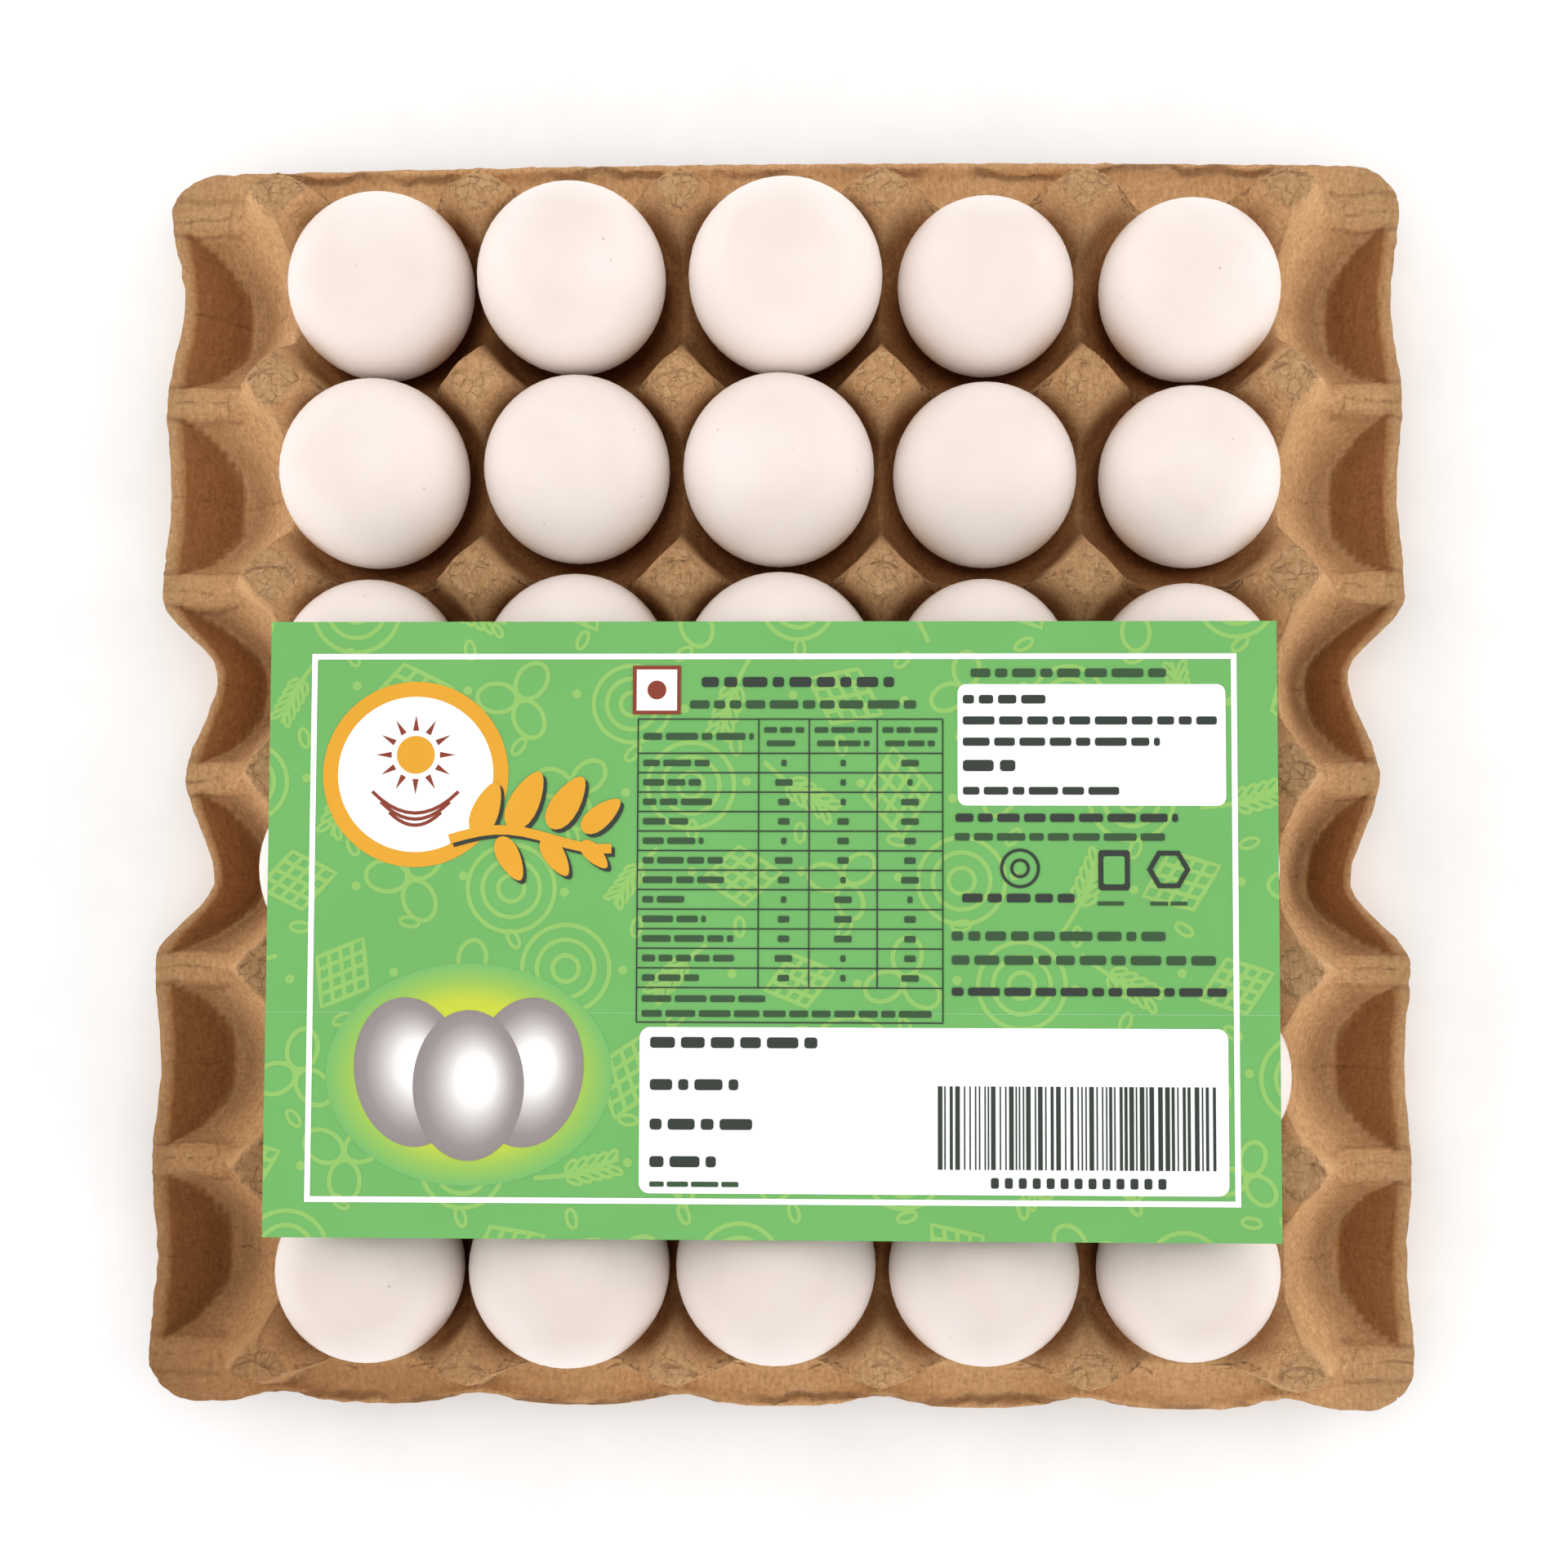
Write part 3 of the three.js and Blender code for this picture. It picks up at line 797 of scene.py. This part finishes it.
def make_pattern(material):
    """Trefoils, wheat ears, rings and lattices in staggered rows, drawn as fine lines."""
    layer = Print("print_pattern", 0.03, material)
    rng = random.Random(41)
    motifs = [trefoil, target, wheat_ear, lattice]
    step_x, step_y = 25.5, 21.5
    for j in range(8):
        for i in range(11):
            x = i * step_x + (j % 2) * step_x / 2 - 6 + rng.uniform(-2, 2)
            y = j * step_y - 4 + rng.uniform(-2, 2)
            motif = motifs[(i + 2 * j + j // 2) % 4]
            turn, size = rng.uniform(0, 6.28), rng.uniform(8.2, 10.5)
            motif(layer, x, y, turn, size, 1.1)
            layer.oval(x + step_x / 2 + rng.uniform(-1, 1), y + rng.uniform(-1.5, 1.5), 1.1, 1.1, 0, 14)
            spot = (x + rng.uniform(-1, 1), y + step_y / 2 + rng.uniform(-1, 1))
            layer.line(oval_points(*spot, 2.2, 1.1, rng.uniform(0, 6.28), 16), 0.9, closed=True)
    layer.build()


def make_print():
    green = paper_material("paper_green", GREEN)
    low = sheet_place(0, PRINT_HEIGHT, 0)
    high = sheet_place(PRINT_WIDTH, 0, 0)
    base = SHEET_BASE * MM + 0.00005
    corners = [(low[0], low[1]), (high[0], low[1]), (high[0], high[1]), (low[0], high[1])]
    vertices = [(x, y, z) for z in (base, high[2]) for x, y in corners]
    faces = [(3, 2, 1, 0), (4, 5, 6, 7), (0, 1, 5, 4), (1, 2, 6, 5), (2, 3, 7, 6), (3, 0, 4, 7)]
    sheet = mesh_object("paper_sheet", vertices, faces, green, shade=False)
    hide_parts("label")
    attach(sheet, "root")

    make_pattern(paper_material("print_light_green", PATTERN_GREEN))
    rng = random.Random(7)
    white = Print("print_white", 0.08, paper_material("print_white", WHITE))
    dark = Print("print_dark", 0.16, paper_material("print_dark", DARK))
    soft = Print("print_soft_dark", 0.14, paper_material("print_soft_dark", MID_DARK))
    orange = Print("print_orange", 0.1, paper_material("print_orange", ORANGE))
    brown = Print("print_brown", 0.18, paper_material("print_brown", RED_BROWN))

    # Painted highlight: a faint pale line across the flat sheet where a fold would be
    fold = Print("print_fold_highlight", 0.05, paper_material("print_fold_highlight", ink(150, 212, 140)))
    fold.box(0, 90.2, PRINT_WIDTH, 90.45)

    # White frame
    left, top, right, bottom, width = 9.6, 7.5, 222.6, 133.7, 1.3
    white.box(left, top, right, top + width)
    white.box(left, bottom - width, right, bottom)
    white.box(left, top + width, left + width, bottom - width)
    white.box(right - width, top + width, right, bottom - width)

    # Round badge: a white disc in an even ring, with a sun and three curved lines, and a sprig beside it
    orange.oval(34, 35.5, 21.5, 21.5, 0, 64)
    white_disc = Print("print_badge_white", 0.12, white.material)
    white_disc.oval(34, 35.5, 18, 18, 0, 64)
    for arc in range(3):
        nest = [(0.2 * n, 0.3 - 0.5 * (0.2 * n) ** 2) for n in range(-5, 6)]
        brown.line(turned(nest, 34, 41.5 + 2 * arc, 0, 10 - 2 * arc), 0.8)
    for n in range(12):
        angle = n * math.pi / 6
        brown.shape(turned([(0.28, -0.035), (0.46, 0), (0.28, 0.035)], 34, 31, angle, 20))
    sun = Print("print_badge_sun", 0.2, orange.material)
    sun.oval(34, 31, 4.4, 4.4, 0, 32)
    # Each leaf's place, turn and length
    leaves = (
        (50.5, 43.5, -1.2, 6.6), (59.5, 41.5, -1.1, 7.4), (69, 42, -1, 7), (77, 45, -0.7, 5.6),
        (56, 55, 1.1, 5.6), (66.5, 54.5, 1, 5.2), (75.5, 54, 0.8, 4.2),
    )
    sprig = Print("print_sprig", 0.24, orange.material)
    shadow = Print("print_sprig_shadow", 0.22, dark.material)
    for layer, off in ((shadow, 0.8), (sprig, 0)):
        stem = [(42 + n * 3.4 + off, 50.5 - 2.2 * math.sin(n * 0.45) + off) for n in range(12)]
        layer.line(stem, 2.2)
        for x, y, turn, size in leaves:
            angles = [k * 0.314 for k in range(20)]
            leaf = [(math.cos(a), 0.46 * math.sin(a) * (1 - 0.25 * math.cos(a))) for a in angles]
            layer.shape(turned(leaf, x + off, y + off, turn, size))

    # Small square with a dark border and a dot
    brown.box(84.1, 10.3, 95.2, 21.6)
    small = Print("print_square", 0.2, white.material)
    small.box(85, 11.2, 94.3, 20.7)
    dot = Print("print_dot", 0.22, brown.material)
    dot.oval(89.65, 15.95, 2.2, 2.2, 0, 28)

    # Headings and the ruled table
    dark.words(100, 14.1, 146, 2.3, rng)
    soft.words(97.3, 19.3, 149.3, 1.9, rng)
    columns = (85.4, 113.2, 124.8, 140.4, 155.4)
    table_top, header_bottom, row_step, foot_bottom = 22.7, 30.6, 4.49, 92.4
    rule = 0.32
    table_end = header_bottom + 12 * row_step
    for x in columns:
        stop = foot_bottom if x in (columns[0], columns[-1]) else table_end
        dark.box(x - rule / 2, table_top, x + rule / 2, stop)
    levels = [table_top] + [header_bottom + n * row_step for n in range(13)] + [foot_bottom]
    for y in levels:
        dark.box(columns[0], y - rule / 2, columns[-1], y + rule / 2)
    soft.words(86.6, 26.7, 112, 1.6, rng)
    for a, b in zip(columns[1:], columns[2:]):
        soft.words(a + 1.2, 25.2, b - 1.2, 1.3, rng)
        soft.words(a + 1.8, 28.3, b - 1.8, 1.3, rng)
    for n in range(12):
        y = header_bottom + (n + 0.5) * row_step
        soft.words(86.6, y, rng.uniform(96, 109), 1.5, rng)
        for a, b in zip(columns[1:], columns[2:]):
            middle, half = (a + b) / 2, rng.choice([0.6, 1.3, 2])
            soft.box(middle - half, y - 0.75, middle + half, y + 0.75, 0.4)
    soft.words(86.6, 87, 115, 1.5, rng)
    soft.words(86.6, 90.4, 153, 1.5, rng)

    # The block at the right: a heading, a white panel and lines of small print
    soft.words(161.8, 12, 206.5, 2, rng)
    white.box(158.8, 14.6, 220, 42.6, 2)
    lines = ((18.1, 180, 2), (23, 218, 1.9), (27.9, 205, 1.9), (33.4, 172, 2.6), (39.2, 197, 1.8))
    for y, end, height in lines:
        dark.words(160, y, end, height, rng)
    dark.words(158.3, 45.4, 209, 1.9, rng)
    soft.words(158.1, 49.8, 206, 1.7, rng)
    dark.line(oval_points(173, 57, 4.2, 4.2), 0.7, closed=True)
    dark.line(oval_points(173, 57, 1.9, 1.9), 0.7, closed=True)
    dark.box(190.8, 52.8, 198, 62, 0.8)
    icon = Print("print_icon", 0.2, green)
    icon.box(192, 54.2, 196.8, 60.6, 0.5)
    dark.line(oval_points(206.8, 57.2, 4.3, 4.3, 0, 6), 1.3, closed=True)
    dark.words(159.8, 63.8, 185.4, 2, rng)
    soft.words(190.6, 65, 198, 0.9, rng)
    soft.words(202.6, 65, 211, 0.9, rng)
    soft.words(157.4, 72.5, 206, 2.1, rng)
    soft.words(157.4, 78, 218.8, 2.1, rng)
    dark.words(157.4, 85.2, 219.8, 1.9, rng)

    # The large white panel with four short lines and a block of stripes
    white.box(86.2, 93.5, 220, 131.3, 2.4)
    for y, end in ((97, 126.8), (106.6, 108.8), (115.6, 112), (124.1, 104.8)):
        dark.words(88.6, y, end, 2.5, rng)
    soft.words(88.6, 129.2, 110.5, 1.2, rng)
    x = 154.2
    while x < 217.6:
        bar = rng.choice([0.35, 0.35, 0.7, 1.05])
        dark.box(x, 106.7, x + bar, 125.6)
        x += bar + rng.choice([0.4, 0.55, 0.9])
    for n in range(13):
        dark.box(166.2 + n * 3.15, 127.4, 168 + n * 3.15, 129.8, 0.5)

    for layer in (fold, white, dark, soft, orange, brown, white_disc, sun, shadow, sprig, small, dot, icon):
        layer.build()


def picture_material(name):
    m = Nodes(name)
    colour = m.add("ShaderNodeVertexColor", _layer_name="tone").outputs["Color"]
    m.set(m.shader, "Base Color", colour)
    m.shader.inputs["Roughness"].default_value = 0.6
    place = m.add("ShaderNodeTexCoord").outputs["Object"]
    m.set(m.shader, "Normal", m.bump(m.noise(place, 3000, 2), 0.1, 0.0001))
    return m.material


def blended_oval(name, layer, centre, light, half_width, half_height, turn, tones, material):
    """A printed oval whose colour blends from a light spot out to its edge."""
    sides, rings = 48, len(tones) - 1
    edge = oval_points(*centre, half_width, half_height, turn, sides)
    vertices = [sheet_place(*light, layer)]
    colours = [tones[0]]
    faces = []
    for ring in range(1, rings + 1):
        share = ring / rings
        for x, y in edge:
            place = (light[0] + (x - light[0]) * share, light[1] + (y - light[1]) * share)
            vertices.append(sheet_place(*place, layer))
            colours.append(tones[ring])
    for k in range(sides):
        j = (k + 1) % sides
        faces.append((0, 1 + j, 1 + k))
        for ring in range(1, rings):
            a, b = 1 + (ring - 1) * sides, 1 + ring * sides
            faces.append((a + k, a + j, b + j, b + k))
    piece = mesh_object(name, vertices, faces, material, shade=False)
    layer_data = piece.data.color_attributes.new("tone", "FLOAT_COLOR", "POINT")
    for n, colour in enumerate(colours):
        layer_data.data[n].color = colour
    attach(piece, "root")


def make_picture():
    """Three printed eggs in a row on a soft yellow-green glow."""
    material = picture_material("print_picture")
    tones = [ink(222, 226, 50)] * 3 + [ink(221, 226, 46), ink(208, 221, 54), ink(160, 206, 84), GREEN]
    shell_tones = [
        rgb(250, 250, 250), rgb(250, 250, 249), rgb(236, 233, 231), ink(226, 220, 218),
        ink(190, 182, 180), ink(160, 149, 148), ink(150, 139, 138),
    ]
    blended_oval("print_glow", 0.065, (47, 104.5), (47, 104.5), 33, 25.5, 0, tones, material)
    for n, (x, y, turn) in enumerate(((33.5, 104, -0.16), (60.5, 104, 0.16), (47, 107, 0))):
        name, layer = "print_egg_%d" % (n + 1), 0.1 + 0.03 * n
        blended_oval(name, layer, (x, y), (x + 2.5, y - 2), 12.8, 17.2, turn, shell_tones, material)


make_print()
make_picture()

# Floor, light and camera
FLOOR_SIZE = 6
floor = mesh_object(
    "floor",
    [(x * FLOOR_SIZE, y * FLOOR_SIZE, 0) for x, y in ((-1, -1), (1, -1), (1, 1), (-1, 1))],
    [(0, 1, 2, 3)],
    paper_material("floor_paint", (0.95, 0.95, 0.95, 1), 0.9),
    shade=False,
)

# A pale studio dome, brighter low down, most of all at the left and right
DOME_TOP = 0.41
DOME_SIDES = 1.8
DOME_ENDS = 0.9
world = bpy.data.worlds.new("studio")
world.use_nodes = True
dome = world.node_tree
direction = dome.nodes.new("ShaderNodeTexCoord").outputs["Generated"]
parts = dome.nodes.new("ShaderNodeSeparateXYZ")
dome.links.new(direction, parts.inputs[0])
glow = None
for axis, share in (("X", DOME_SIDES), ("Y", DOME_ENDS)):
    square = dome.nodes.new("ShaderNodeMath")
    square.operation = "MULTIPLY"
    dome.links.new(parts.outputs[axis], square.inputs[0])
    dome.links.new(parts.outputs[axis], square.inputs[1])
    strength = dome.nodes.new("ShaderNodeMath")
    strength.operation = "MULTIPLY_ADD"
    dome.links.new(square.outputs[0], strength.inputs[0])
    strength.inputs[1].default_value = share
    strength.inputs[2].default_value = DOME_TOP
    if glow is not None:
        dome.links.new(glow, strength.inputs[2])
    glow = strength.outputs[0]
dome.nodes["Background"].inputs["Color"].default_value = (1, 1, 1, 1)
dome.links.new(glow, dome.nodes["Background"].inputs["Strength"])
bpy.context.scene.world = world


def area_light(name, place, aim, size, power):
    light = bpy.data.lights.new(name, "AREA")
    light.shape = "DISK"
    light.size = size
    light.energy = power
    lamp = bpy.data.objects.new(name, light)
    bpy.context.scene.collection.objects.link(lamp)
    lamp.location = place
    lamp.rotation_euler = (Vector(aim) - Vector(place)).to_track_quat("-Z", "Y").to_euler()


area_light("key", (0.0, 0.0, 1.1), (0, 0, 0), 0.9, 2.5)

# The picture's own view: from a little below and right of the tray's middle
CAMERA_PLACE = (0.0218, -0.0448, 0.650)
CAMERA_TURN = (3.88, 1.86, 0.05)
FRAME_PIXELS = 1920
FOCAL_PIXELS = 3211
SENSOR = 36
camera_data = bpy.data.cameras.new("camera")
camera_data.sensor_width = SENSOR
camera_data.lens = SENSOR * FOCAL_PIXELS / FRAME_PIXELS
camera_data.clip_end = 20
camera = bpy.data.objects.new("camera", camera_data)
bpy.context.scene.collection.objects.link(camera)
camera.location = CAMERA_PLACE
camera.rotation_mode = "ZYX"
camera.rotation_euler = [math.radians(angle) for angle in CAMERA_TURN]
bpy.context.scene.camera = camera
bpy.context.scene.view_settings.view_transform = "Standard"
